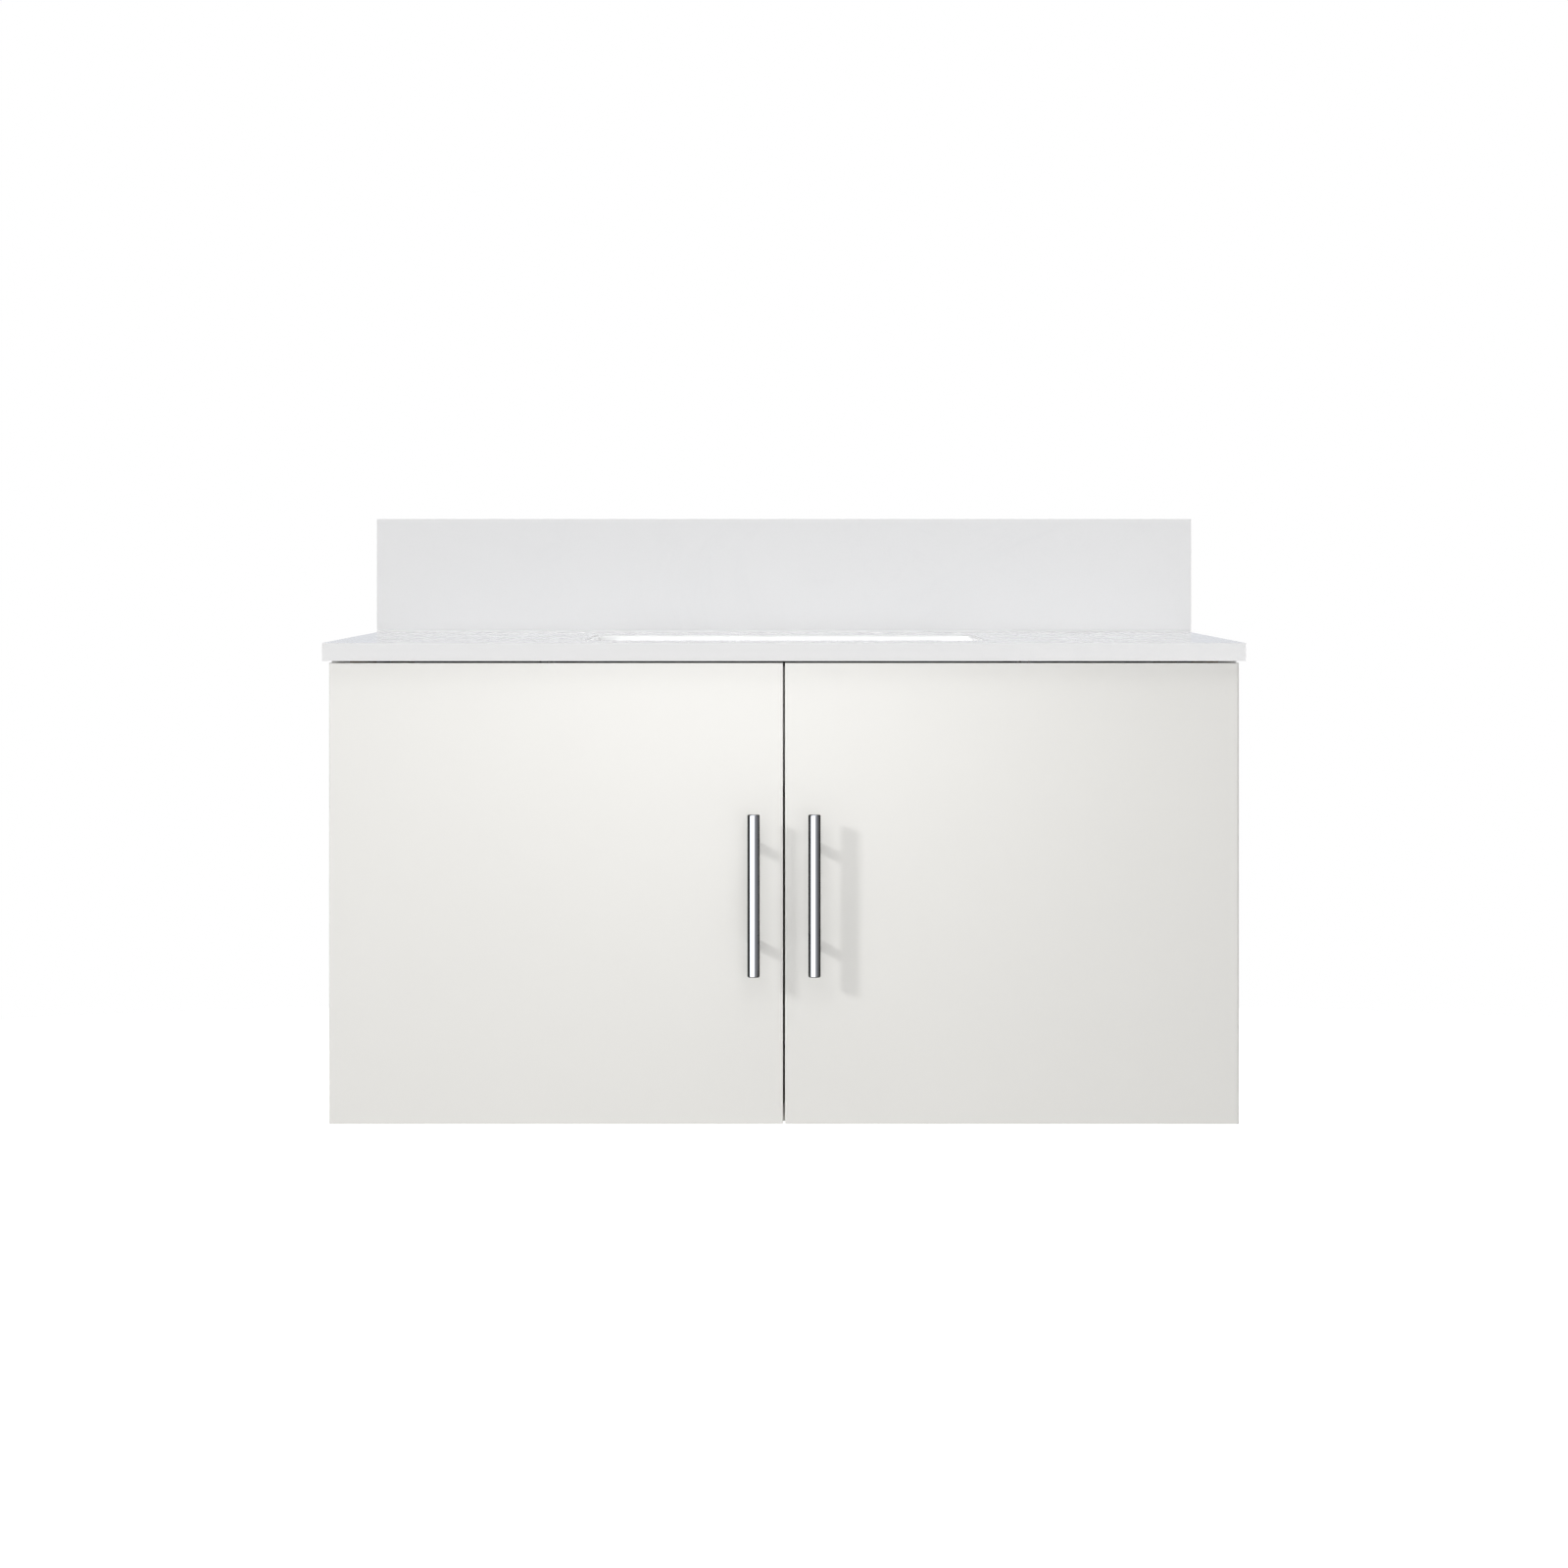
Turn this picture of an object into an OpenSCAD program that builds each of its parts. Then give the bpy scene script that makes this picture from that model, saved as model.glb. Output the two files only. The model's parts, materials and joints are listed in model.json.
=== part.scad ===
// Wall-hung bathroom vanity with two doors, millimetres, +Z up, front towards -Y.
// The origin is the centre of the four wall-screw holes, on the wall face.

/* [Worktop] */
// Width of the worktop
worktop_w = 914.4; // [860:0.1:1220]
// Depth of the worktop from the wall to its front edge
worktop_d = 559; // [540:1:600]
// Thickness of the worktop
worktop_t = 18; // [16:1:30]
// How far the worktop reaches past the door faces
worktop_overhang = 6; // [2:1:12]
// How far the worktop reaches past each side of the cabinet
side_overhang = 4.7; // [2:0.1:10]
// Height of the backsplash above the worktop
backsplash_h = 127; // [80:1:150]
// Thickness of the backsplash
backsplash_t = 18; // [12:1:25]

/* [Cabinet] */
// Height of the cabinet below the worktop
cabinet_h = 459; // [440:1:500]
// Thickness of the panels and rails
board_t = 18; // [16:1:19]
// Height of the gap under the worktop's front, over the rail and the side panels
rail_gap = 6; // [4:1:10]

/* [Doors] */
// Thickness of the doors
door_t = 18; // [17:1:19]
// Gap between the two doors
door_gap = 2; // [2:0.5:4]
// Gap between the doors and the worktop
top_reveal = 2; // [2:0.5:4]

/* [Handles] */
// Length of each handle bar
bar_l = 160; // [120:1:200]
// Diameter of each handle bar
bar_d = 12; // [10:0.5:14]
// Distance between the two posts of a handle
post_spacing = 96; // [64:32:96]
// Diameter of the handle posts
post_d = 10; // [8:0.5:10]
// Distance from the door face to the centre of the bar
bar_stand_off = 29; // [24:1:36]
// Distance from the free edge of the door to the centre of the bar
bar_inset = 29; // [25:1:60]

/* [Basin] */
// Inside width of the basin at the top
basin_w = 395; // [340:5:420]
// Inside depth of the basin at the top, front to back
basin_d = 245; // [240:5:270]
// Distance from the wall to the middle of the basin
basin_from_wall = 323.5; // [310:0.5:330]
// Depth of the bowl below the worktop's top face
bowl_depth = 140; // [120:5:150]
// Radius of the drain hole
drain_r = 22.5; // [20:0.5:24]

/* [Wall fixing] */
// Sideways distance between the wall screws
screw_span_x = 406.4; // [300:0.1:600]
// Height between the two rows of wall screws
screw_span_z = 340; // [330:1:350]
// Diameter of the wall-screw holes
wall_hole_d = 6.5; // [5:0.5:8]

/* [Hidden] */
$fn = 48;
left = -1;
right = 1;
cut = 1; // how far a cutting shape runs past the face that it cuts

// Cabinet box
rail_h = 100;
cabinet_w = worktop_w - 2 * side_overhang;
cabinet_top = screw_span_z / 2 + rail_h / 2;
cabinet_bottom = cabinet_top - cabinet_h;
half_w = cabinet_w / 2;
inner_half_w = half_w - board_t;
door_clearance = 3; // between the back of a door and the front of the cabinet
door_face_y = -worktop_d + worktop_overhang;
door_back_y = door_face_y + door_t;
cabinet_front_y = door_back_y + door_clearance;
bottom_top = cabinet_bottom + board_t;
lower_rail_h = 2 * (-screw_span_z / 2 - bottom_top);
front_rail_h = 74;
front_rail_top = cabinet_top - rail_gap;

// Back panel, in a groove round the opening between the two wall rails
back_t = 6;
back_y = -12; // front face of the back panel
groove_depth = 6.5;
groove_gap = 0.1; // between the panel and each wall of its groove
back_low = -screw_span_z / 2 + lower_rail_h / 2;
back_high = screw_span_z / 2 - rail_h / 2;

// Doors
door_side_inset = 1.5; // from the cabinet's side to the edge of the door
door_top = cabinet_top - top_reveal;
door_bottom = cabinet_bottom;
door_h = door_top - door_bottom;
door_mid_z = (door_top + door_bottom) / 2;
hinge_edge_r = 2;
free_edge_r = 0.8;
bumper_inset = 20; // from the middle of the cabinet to a bumper
bumper_t = 2.7;

// Hinges, in their own coordinates: x inwards from the cabinet's side, y back from the door face
hinge_from_end = 95; // from the end of the door to the hinge
hinge_heights = [door_bottom + hinge_from_end, door_top - hinge_from_end];
pin_x = 9.5;
pin_y = 10.5;
pin_r = 1.5;
pin_half = 11.2;
knuckle_r = 2.4;
link_half = 5.5;
running_gap = 0.05;
cup_x = 22.5;
cup_r = 17.45;
cup_wall = 0.8;
cup_rim_r = 18;
cup_top = door_t; // the open end of the cup lies on the back of the door
cup_depth = 11.5;
flange_t = 1;
flange_x = 28.5;
flange_half = 31;
cup_screw_span = 48;
leg_x = 21.5;
leg_t = 3;
leg_end = 38;
arm_front = 24;
arm_back = 90;
arm_half = 7.5;
arm_base = board_t + 3;
arm_top = board_t + 12;
arm_wall = 1.5;
ridge_front = 40;
ridge_back = 88;
plate_screw_y = door_t + door_clearance + 37; // 37 mm behind the front of the panel
plate_screw_span = 32;
plate_screw_r = 2.5;
plate_screw_l = 12.5;
plate_hole_depth = 11; // in the side panel
plate_t = 2.5;
rivet_r = 1;
rivet_places = [28, 35];
adjuster_places = [50, 80];
adjuster_r = 2;

// Carcass joints: [y, z] of every dowel
dowel_r = 3.95;
dowel_hole_r = 4;
dowel_l = 30;
dowel_in_side = 10;
dowel_spare = 1; // how much deeper than the dowel each hole is
bottom_dowel_ys = [-60, cabinet_front_y / 2, cabinet_front_y + 60];
bottom_dowels = [for (y = bottom_dowel_ys) [y, cabinet_bottom + board_t / 2]];
hanging_dowels = [for (dz = [-1, 1] * rail_h / 4) [-board_t / 2, screw_span_z / 2 + dz]];
lower_dowels = [for (dz = [-1, 1] * lower_rail_h / 4) [-board_t / 2, -screw_span_z / 2 + dz]];
front_dowel_zs = [front_rail_top - 20, front_rail_top - front_rail_h + 20];
front_dowels = [for (z = front_dowel_zs) [cabinet_front_y + board_t / 2, z]];
all_dowels = concat(bottom_dowels, hanging_dowels, lower_dowels, front_dowels);

// Corner blocks: [thickness, length, height], with two screws each
block = [20, 70, board_t];
block_screw_steps = [15, 55];
block_starts = [cabinet_front_y + board_t, -board_t - block[1]];
block_screw_r = 1.95;
block_hole_r = 2;
block_screw_in_side = 12;

// Basin
worktop_top = cabinet_top + worktop_t;
basin_y = -basin_from_wall;
basin_corner_r = 20;
wall_taper = 28; // how far the basin's walls lean in from top to floor
floor_r = 30; // radius between the walls and the floor
basin_wall = 8;
collar_t = 6;
collar_drop = 0.5; // the collar's rim lies just under the top face
overflow_wall = 5; // round the overflow channel
joint_t = 1.5; // sealant joint round the collar
bed_t = 1; // sealant bed over the flange
flange_w = 31; // from the inside of the basin to the edge of its flange
flange_corner_r = basin_corner_r + flange_w - 10;
basin_flange_t = 13;
basin_floor = worktop_top - bowl_depth;
bore_bottom = basin_floor - 22;
floor_half_x = basin_w / 2 - wall_taper - floor_r;
floor_half_y = basin_d / 2 - wall_taper - floor_r;
clip_x = basin_w / 2 + flange_w + 12;
clip_ys = [basin_y - 85, basin_y + 85];
clip_w = 22;
clip_t = 2;
clip_reach = 28;
clip_foot = 11;
stud_r = 3;
stud_depth = 10; // into the underside of the worktop
stud_spare = 0.5;
stud_below = 12; // from the bottom of the basin's flange to the end of the stud
flange_bottom = cabinet_top - bed_t - basin_flange_t;

// Colours
paint = [0.96, 0.95, 0.93];
marble = [0.89, 0.90, 0.91];
porcelain = [0.98, 0.98, 0.97];
beech = [0.80, 0.62, 0.42];
chrome = [0.80, 0.81, 0.83];
nickel = [0.72, 0.72, 0.70];
sealant_white = [0.93, 0.93, 0.91];
rubber_clear = [0.75, 0.76, 0.76];

// ---------- Helpers ----------

// A shape for the left side, mirrored for the right side
module on_side(side) {
    if (side == left) children();
    else mirror([1, 0, 0]) children();
}

// Places a hinge shape at both hinge heights of one side
module at_hinges(side) {
    on_side(side)
        for (z = hinge_heights) translate([-half_w, door_face_y, z]) children();
}

// Rectangle with round corners, centred
module round_rect(w, d, r) {
    square([w - 2 * r, d], center = true);
    square([w, d - 2 * r], center = true);
    for (x = [-1, 1], y = [-1, 1])
        translate([x * (w / 2 - r), y * (d / 2 - r)]) circle(r);
}

// Plate with round corners standing on z0
module round_plate(w, d, r, z0, h) {
    translate([0, 0, z0]) linear_extrude(h) round_rect(w, d, r);
}

// Box given by its two corners
module box(low, high) {
    translate(low) cube([high[0] - low[0], high[1] - low[1], high[2] - low[2]]);
}

// Cylinder along X from x0 to x1
module rod_x(r, x0, x1) {
    translate([x0, 0, 0]) rotate([0, 90, 0]) cylinder(r = r, h = x1 - x0);
}

// Cylinder along Y from y0 to y1
module rod_y(r, y0, y1) {
    translate([0, y1, 0]) rotate([90, 0, 0]) cylinder(r = r, h = y1 - y0);
}

// Screw along +Z: shank from -shank_l to 0, pan head above, cross recess in the head
module pan_screw(shank_r, shank_l, head_r, head_h) {
    recess_w = head_r * 0.28;
    recess_l = head_r * 1.15;
    difference() {
        union() {
            translate([0, 0, -shank_l]) cylinder(r = shank_r, h = shank_l);
            cylinder(r = head_r, h = head_h * 0.5);
            translate([0, 0, head_h * 0.5]) cylinder(r1 = head_r, r2 = head_r * 0.72, h = head_h * 0.5);
        }
        for (turn = [0, 90])
            rotate([0, 0, turn])
                translate([-recess_l / 2, -recess_w / 2, head_h * 0.35]) cube([recess_l, recess_w, head_h]);
    }
}

// ---------- Carcass ----------

module dowel_holes(places, x0, x1) {
    for (p = places) translate([0, p[0], p[1]]) rod_x(dowel_hole_r, x0, x1);
}

// Blind dowel holes in both ends of a cross member
module end_holes(places) {
    depth = dowel_l - dowel_in_side + dowel_spare;
    dowel_holes(places, -inner_half_w - cut, -inner_half_w + depth);
    dowel_holes(places, inner_half_w - depth, inner_half_w + cut);
}

// Space that the groove of the back panel cuts out of its neighbours
module back_groove() {
    box([-inner_half_w - groove_depth, back_y - groove_gap, back_low - groove_depth],
        [inner_half_w + groove_depth, back_y + back_t + groove_gap, back_high + groove_depth]);
}

// The notch at the top front corner carries the gap over the front rail out to the cabinet's side
module side_panel(side) {
    color(paint) on_side(side) difference() {
        box([-half_w, cabinet_front_y, cabinet_bottom], [-inner_half_w, 0, cabinet_top]);
        box([-half_w - cut, cabinet_front_y - cut, front_rail_top],
            [-inner_half_w + cut, cabinet_front_y + board_t, cabinet_top + cut]);
        back_groove();
        dowel_holes(all_dowels, -inner_half_w - dowel_in_side - dowel_spare, -inner_half_w + cut);
        for (z = hinge_heights, dz = [-1, 1] * plate_screw_span / 2)
            translate([0, door_face_y + plate_screw_y, z + dz])
                rod_x(plate_screw_r + running_gap, -inner_half_w - plate_hole_depth, -inner_half_w + cut);
        for (y = block_starts, dy = block_screw_steps)
            translate([0, y + dy, cabinet_top - block[2] / 2])
                rod_x(block_hole_r, -inner_half_w - block_screw_in_side - 1, -inner_half_w + cut);
    }
}

module bottom_panel() {
    color(paint) difference() {
        box([-inner_half_w, cabinet_front_y, cabinet_bottom], [inner_half_w, 0, bottom_top]);
        end_holes(bottom_dowels);
    }
}

module front_rail() {
    color(paint) difference() {
        box([-inner_half_w, cabinet_front_y, front_rail_top - front_rail_h],
            [inner_half_w, cabinet_front_y + board_t, front_rail_top]);
        end_holes(front_dowels);
    }
}

// Rail against the wall with two screw holes on its middle line
module wall_rail(mid_z, h, dowels) {
    color(paint) difference() {
        box([-inner_half_w, -board_t, mid_z - h / 2], [inner_half_w, 0, mid_z + h / 2]);
        back_groove();
        end_holes(dowels);
        for (x = [-1, 1] * screw_span_x / 2)
            translate([x, 0, mid_z]) rod_y(wall_hole_d / 2, -board_t - cut, cut);
    }
}

module hanging_rail() { wall_rail(screw_span_z / 2, rail_h, hanging_dowels); }
module lower_back_rail() { wall_rail(-screw_span_z / 2, lower_rail_h, lower_dowels); }

module back_panel() {
    reach = groove_depth - 0.5;
    color(paint)
        box([-inner_half_w - reach, back_y, back_low - reach],
            [inner_half_w + reach, back_y + back_t, back_high + reach]);
}

module corner_blocks() {
    color(beech)
        for (side = [left, right], y = block_starts)
            on_side(side) difference() {
                box([-inner_half_w, y, cabinet_top - block[2]],
                    [-inner_half_w + block[0], y + block[1], cabinet_top]);
                for (dy = block_screw_steps)
                    translate([0, y + dy, cabinet_top - block[2] / 2])
                        rod_x(block_hole_r, -inner_half_w - cut, -inner_half_w + block[0] + cut);
            }
}

module corner_block_screws() {
    color(nickel)
        for (side = [left, right], y = block_starts, dy = block_screw_steps)
            on_side(side)
                translate([-inner_half_w + block[0], y + dy, cabinet_top - block[2] / 2])
                    rotate([0, 90, 0])
                        pan_screw(block_screw_r, block[0] + block_screw_in_side, 4, 2.4);
}

module carcass_dowels() {
    color(beech)
        for (side = [left, right], p = all_dowels)
            on_side(side) translate([0, p[0], p[1]])
                rod_x(dowel_r, -inner_half_w - dowel_in_side, -inner_half_w - dowel_in_side + dowel_l);
}

// ---------- Worktop ----------

module worktop() {
    hole_grow = 2 * (collar_t + joint_t);
    color(marble) difference() {
        box([-worktop_w / 2, -worktop_d, cabinet_top], [worktop_w / 2, 0, worktop_top]);
        translate([0, basin_y, 0])
            round_plate(basin_w + hole_grow, basin_d + hole_grow, basin_corner_r + hole_grow / 2,
                        cabinet_top - cut, worktop_t + 2 * cut);
        for (x = [-clip_x, clip_x], y = clip_ys)
            translate([x, y, cabinet_top - cut])
                cylinder(r = stud_r + running_gap, h = cut + stud_depth + stud_spare);
    }
}

module backsplash() {
    color(marble)
        box([-worktop_w / 2, -backsplash_t, worktop_top], [worktop_w / 2, 0, worktop_top + backsplash_h]);
}

module backsplash_sealant() {
    bead = 2.5;
    color(sealant_white)
        translate([-worktop_w / 2 + 1, -backsplash_t, worktop_top]) rotate([90, 0, 90])
            linear_extrude(worktop_w - 2) polygon([[0, 0], [-bead, 0], [0, bead]]);
}

// ---------- Basin ----------

// Tapered bowl with round floor edges, grown outwards by grow
module bowl(grow, top_z) {
    hull() {
        round_plate(basin_w + 2 * grow, basin_d + 2 * grow, basin_corner_r + grow, top_z - 1, 1);
        for (x = [-1, 1] * floor_half_x, y = [-1, 1] * floor_half_y)
            translate([x, y, basin_floor + floor_r]) sphere(r = floor_r + grow, $fn = 40);
    }
}

// Side outline of the overflow channel: inside with grow 0, outside with grow overflow_wall.
// It runs down the front wall from the flange, round the floor edge and back to the drain.
module overflow_outline(grow) {
    wall_y = -basin_d / 2 - basin_wall;
    toe_y = -floor_half_y;
    channel = 10;
    top = flange_bottom + (grow > 0 ? 1 : -6);
    duct_low = basin_floor - 17.5 - grow;
    duct_high = basin_floor - 10 + grow;
    drain_y = -drain_r + 6;
    polygon([
        [wall_y - channel - grow, top],
        [toe_y - floor_r - basin_wall - channel - grow, basin_floor + floor_r],
        [toe_y - 34 - grow, basin_floor - 3 - grow],
        [toe_y - 6, duct_low],
        [drain_y, duct_low],
        [drain_y, duct_high],
        [toe_y, duct_high + 0.5],
        [toe_y - 28, basin_floor + grow],
        [toe_y - floor_r - basin_wall - 1 + grow, basin_floor + floor_r],
        [wall_y + grow, top]
    ]);
}

module overflow_body(width, grow) {
    rotate([90, 0, 90]) translate([0, 0, -width / 2]) linear_extrude(width) overflow_outline(grow);
}

module basin() {
    boss_wall = 9; // round the drain hole
    recess_w = 8; // seat of the drain fitting
    recess_depth = 2.5;
    overflow_w = 46;
    overflow_side = 6;
    overflow_r = 9;
    overflow_below = 50; // from the top face of the worktop down to the overflow
    color(porcelain) translate([0, basin_y, 0]) difference() {
        union() {
            bowl(basin_wall, flange_bottom + 2);
            overflow_body(overflow_w, overflow_wall);
            round_plate(basin_w + 2 * flange_w, basin_d + 2 * flange_w, flange_corner_r,
                        flange_bottom, basin_flange_t);
            round_plate(basin_w + 2 * collar_t, basin_d + 2 * collar_t, basin_corner_r + collar_t,
                        flange_bottom + 2, worktop_top - collar_drop - flange_bottom - 2);
            translate([0, 0, bore_bottom])
                cylinder(r = drain_r + boss_wall, h = basin_floor - bore_bottom - 1);
        }
        bowl(0, worktop_top + cut);
        overflow_body(overflow_w - 2 * overflow_side, 0);
        translate([0, 0, bore_bottom - cut])
            cylinder(r = drain_r, h = basin_floor - bore_bottom + 3 * cut);
        translate([0, 0, basin_floor - recess_depth])
            cylinder(r = drain_r + recess_w, h = recess_depth + 1.5);
        translate([0, 0, worktop_top - overflow_below])
            rod_y(overflow_r, -basin_d / 2 - basin_wall - 2, -basin_d / 2 + 24);
    }
}

module basin_sealant() {
    joint_top = worktop_top - collar_drop;
    joint_grow = 2 * (collar_t + joint_t);
    bed_bottom = cabinet_top - bed_t;
    bed_inset = 3; // from the edge of the flange to the edge of the bed
    bed_grow = 2 * (flange_w - bed_inset);
    color(sealant_white) translate([0, basin_y, 0]) difference() {
        union() {
            round_plate(basin_w + joint_grow, basin_d + joint_grow, basin_corner_r + joint_grow / 2,
                        bed_bottom, joint_top - bed_bottom);
            round_plate(basin_w + bed_grow, basin_d + bed_grow, flange_corner_r - bed_inset,
                        bed_bottom, bed_t);
        }
        round_plate(basin_w + 2 * collar_t, basin_d + 2 * collar_t, basin_corner_r + collar_t,
                    bed_bottom - cut, joint_top - bed_bottom + 2 * cut);
    }
}

// Bent clip: one end grips the basin flange, the foot bears on the worktop
module basin_clips() {
    color(nickel)
        for (side = [left, right], y = clip_ys)
            on_side(side) difference() {
                translate([-clip_x, y + clip_w / 2, 0]) rotate([90, 0, 0]) linear_extrude(clip_w) polygon([
                    [-clip_foot, cabinet_top], [-clip_foot, flange_bottom - clip_t],
                    [clip_reach, flange_bottom - clip_t], [clip_reach, flange_bottom],
                    [-clip_foot + clip_t, flange_bottom], [-clip_foot + clip_t, cabinet_top]
                ]);
                translate([-clip_x, y, flange_bottom - 3 * clip_t])
                    cylinder(r = stud_r + 0.3, h = 5 * clip_t);
            }
}

module basin_clip_studs() {
    color(nickel)
        for (x = [-clip_x, clip_x], y = clip_ys)
            translate([x, y, flange_bottom - stud_below])
                cylinder(r = stud_r, h = cabinet_top + stud_depth - flange_bottom + stud_below);
}

module basin_wing_nuts() {
    nut_top = flange_bottom - clip_t;
    color(nickel)
        for (x = [-clip_x, clip_x], y = clip_ys)
            translate([x, y, nut_top - 7]) difference() {
                union() {
                    cylinder(r = 5.5, h = 7);
                    for (turn = [0, 180])
                        rotate([0, 0, turn]) translate([4, 1, 0]) rotate([90, 0, 0]) linear_extrude(2)
                            polygon([[0, 1], [4, -4], [9, -6], [10, -3], [7, 3], [0, 6]]);
                }
                translate([0, 0, -8]) cylinder(r = stud_r + running_gap, h = 16);
            }
}

// ---------- Hinge parts fixed to the cabinet ----------

module hinge_plates(side) {
    wing_half = plate_screw_span / 2 + 8;
    color(nickel) at_hinges(side) difference() {
        union() {
            translate([board_t, plate_screw_y, 0]) rotate([90, 0, 90]) linear_extrude(plate_t)
                round_rect(15, 2 * wing_half, 6);
            box([board_t, ridge_front, -link_half], [board_t + plate_t, ridge_back, link_half]);
            box([board_t + plate_t - 0.5, ridge_front, -link_half + 0.1],
                [arm_top - arm_wall, ridge_back, link_half - 0.1]);
        }
        for (dz = [-1, 1] * plate_screw_span / 2)
            translate([0, plate_screw_y, dz])
                rod_x(plate_screw_r + 0.2, board_t - cut, board_t + plate_t + cut);
        for (y = adjuster_places)
            translate([0, y, 0]) rod_x(adjuster_r + running_gap, arm_base + 1, arm_top);
    }
}

module hinge_plate_screws(side) {
    color(nickel) at_hinges(side)
        for (dz = [-1, 1] * plate_screw_span / 2)
            translate([board_t + plate_t, plate_screw_y, dz]) rotate([0, 90, 0])
                pan_screw(plate_screw_r, plate_screw_l, 4, 2.2);
}

// Channel that straddles the ridge of the mounting plate
module hinge_arms(side) {
    round_r = 2;
    color(nickel) at_hinges(side) difference() {
        translate([0, arm_back, 0]) rotate([90, 0, 0]) linear_extrude(arm_back - arm_front) {
            translate([arm_base, -arm_half]) square([arm_top - arm_base - round_r, 2 * arm_half]);
            translate([arm_base, -arm_half + round_r])
                square([arm_top - arm_base, 2 * (arm_half - round_r)]);
            for (z = [-1, 1] * (arm_half - round_r)) translate([arm_top - round_r, z]) circle(round_r);
        }
        box([arm_base - cut, arm_front - cut, -link_half], [arm_top - arm_wall, arm_back + cut, link_half]);
        for (y = adjuster_places)
            translate([0, y, 0]) rod_x(adjuster_r + 0.4, arm_top - 2 * arm_wall, arm_top + cut);
        for (y = rivet_places)
            translate([leg_x + leg_t / 2, y, -arm_half - cut])
                cylinder(r = rivet_r + running_gap, h = 2 * (arm_half + cut));
    }
}

// Cranked link: a knuckle round the hinge pin, a tongue inside the cup, and a leg into the arm
module hinge_links(side) {
    color(nickel) at_hinges(side) difference() {
        union() {
            translate([pin_x, pin_y, -link_half]) cylinder(r = knuckle_r, h = 2 * link_half);
            box([pin_x, pin_y - knuckle_r, -link_half], [leg_x + leg_t, pin_y, link_half]);
            box([leg_x, pin_y - knuckle_r, -link_half], [leg_x + leg_t, leg_end, link_half]);
        }
        translate([pin_x, pin_y, -link_half - cut])
            cylinder(r = pin_r + running_gap, h = 2 * (link_half + cut));
        for (y = rivet_places)
            translate([leg_x + leg_t / 2, y, -arm_half])
                cylinder(r = rivet_r + running_gap, h = 2 * arm_half);
    }
}

module hinge_rivets(side) {
    head_h = 0.7;
    color(nickel) at_hinges(side)
        for (y = rivet_places)
            translate([leg_x + leg_t / 2, y, 0]) {
                translate([0, 0, -arm_half]) cylinder(r = rivet_r, h = 2 * arm_half);
                for (z = [-arm_half - head_h, arm_half]) translate([0, 0, z]) cylinder(r = 2.2, h = head_h);
            }
}

module hinge_adjusters(side) {
    color(nickel) at_hinges(side)
        for (y = adjuster_places)
            translate([arm_top, y, 0]) rotate([0, 90, 0]) pan_screw(adjuster_r, 8, 3.4, 2);
}

// ---------- Doors ----------

module door(side) {
    x0 = -half_w + door_side_inset;
    x1 = -door_gap / 2;
    y0 = door_face_y;
    y1 = door_back_y;
    rh = hinge_edge_r;
    rf = free_edge_r;
    color(paint) on_side(side) difference() {
        translate([0, 0, door_bottom]) linear_extrude(door_h) {
            translate([x0 + rh, y0]) square([x1 - x0 - rh - rf, door_t]);
            translate([x0, y0 + rh]) square([x1 - x0 - rf, door_t - 2 * rh]);
            translate([x0 + rh, y0 + rf]) square([x1 - x0 - rh, door_t - 2 * rf]);
            for (y = [y0 + rh, y1 - rh]) translate([x0 + rh, y]) circle(rh);
            for (y = [y0 + rf, y1 - rf]) translate([x1 - rf, y]) circle(rf);
        }
        for (z = hinge_heights) translate([-half_w, door_face_y, z]) {
            translate([cup_x, 0, 0]) rod_y(cup_r + running_gap, cup_top - cup_depth, cup_top + cut);
            translate([pin_x, pin_y, -pin_half - 0.5]) cylinder(r = pin_r + 0.3, h = 2 * pin_half + 1);
            for (dz = [-1, 1] * cup_screw_span / 2)
                translate([flange_x, 0, dz]) rod_y(1.8, door_t - 11, door_t + cut);
        }
        for (dz = [-1, 1] * post_spacing / 2)
            translate([x1 - bar_inset, 0, door_mid_z + dz]) rod_y(2.3, y0 - cut, y1 + cut);
    }
}

// Cup with a rim, a flange for its screws, and two lugs inside that hold the pin
module hinge_cups(side) {
    cup_bottom = cup_top - cup_depth;
    lug_reach = 2.6;
    color(nickel) at_hinges(side) difference() {
        union() {
            difference() {
                union() {
                    translate([cup_x, 0, 0]) rod_y(cup_r, cup_bottom, cup_top + flange_t);
                    translate([cup_x, 0, 0]) rod_y(cup_rim_r, cup_top, cup_top + flange_t);
                    translate([flange_x, cup_top + flange_t, 0]) rotate([90, 0, 0]) linear_extrude(flange_t)
                        round_rect(14, 2 * flange_half, 5);
                }
                translate([cup_x, 0, 0]) rod_y(cup_r - cup_wall, cup_bottom + 1, cup_top + flange_t + cut);
            }
            intersection() {
                translate([cup_x, 0, 0]) rod_y(cup_r - cup_wall / 2, cup_bottom + 0.5, cup_top);
                for (flip = [0, 1]) mirror([0, 0, flip])
                    box([0, cup_bottom, link_half + 0.3], [pin_x + lug_reach, pin_y + lug_reach, cup_r]);
            }
        }
        translate([pin_x, pin_y, -cup_r]) cylinder(r = pin_r + 0.02, h = 2 * cup_r);
        for (dz = [-1, 1] * cup_screw_span / 2)
            translate([flange_x, 0, dz]) rod_y(2, cup_top - cut, cup_top + flange_t + cut);
    }
}

module hinge_cup_screws(side) {
    color(nickel) at_hinges(side)
        for (dz = [-1, 1] * cup_screw_span / 2)
            translate([flange_x, cup_top + flange_t, dz]) rotate([-90, 0, 0]) pan_screw(1.75, 11, 3.4, 1.6);
}

module hinge_pins(side) {
    color(chrome) at_hinges(side)
        translate([pin_x, pin_y, -pin_half]) cylinder(r = pin_r, h = 2 * pin_half);
}

module at_handle(side) {
    on_side(side) translate([-door_gap / 2 - bar_inset, door_face_y, door_mid_z]) children();
}

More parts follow.
